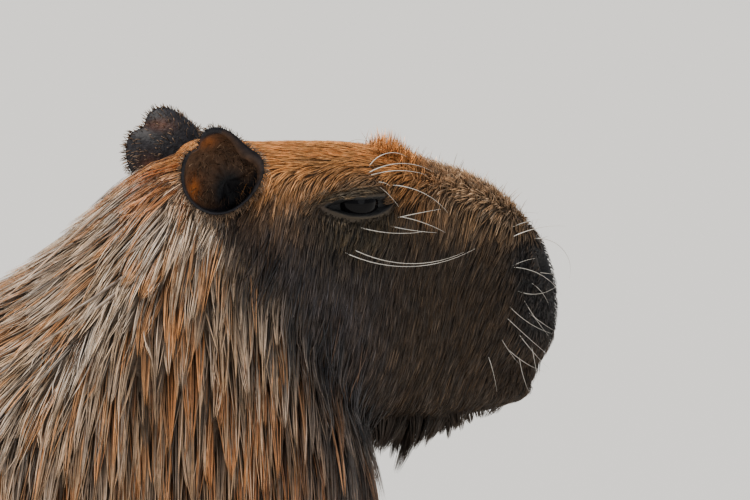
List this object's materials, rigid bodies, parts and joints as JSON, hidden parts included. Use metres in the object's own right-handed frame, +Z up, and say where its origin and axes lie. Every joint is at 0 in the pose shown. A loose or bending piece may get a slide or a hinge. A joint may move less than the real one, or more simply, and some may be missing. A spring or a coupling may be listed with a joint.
{
  "type": "capybara model",
  "caption": "Life-size still model of an adult capybara standing on four feet with its head level, coat of coarse wet locks",
  "frame": {"origin": "on the floor, below the middle of the animal's length and width", "axes": "+X towards the nose, +Y to the animal's left, +Z up"},
  "size_m": [1.0055, 0.3071, 0.702],
  "materials": {
    "coat": "coarse wet hair in locks, rust brown to tan",
    "coat_face": "short dense hair, dark grey brown",
    "ear_skin": "bare slaty skin, orange brown inside",
    "eye": "dark brown, wet gloss",
    "leg_hair": "short close hair over dark skin",
    "claw": "dark horn"
  },
  "bodies": {
    "root": {"head": "coat_face", "ear_right": "ear_skin", "ear_left": "ear_skin", "eye_right": "eye", "eye_left": "eye", "neck": "coat", "torso": "coat", "rump": "coat", "tail": "coat", "foreleg_right": "leg_hair", "forefoot_right": "leg_hair", "foreclaw_right_1": "claw", "foreclaw_right_2": "claw", "foreclaw_right_3": "claw", "foreclaw_right_4": "claw", "foreleg_left": "leg_hair", "forefoot_left": "leg_hair", "foreclaw_left_1": "claw", "foreclaw_left_2": "claw", "foreclaw_left_3": "claw", "foreclaw_left_4": "claw", "hindleg_right": "leg_hair", "hindfoot_right": "leg_hair", "hindclaw_right_1": "claw", "hindclaw_right_2": "claw", "hindclaw_right_3": "claw", "hindleg_left": "leg_hair", "hindfoot_left": "leg_hair", "hindclaw_left_1": "claw", "hindclaw_left_2": "claw", "hindclaw_left_3": "claw"}
  },
  "joints": []
}
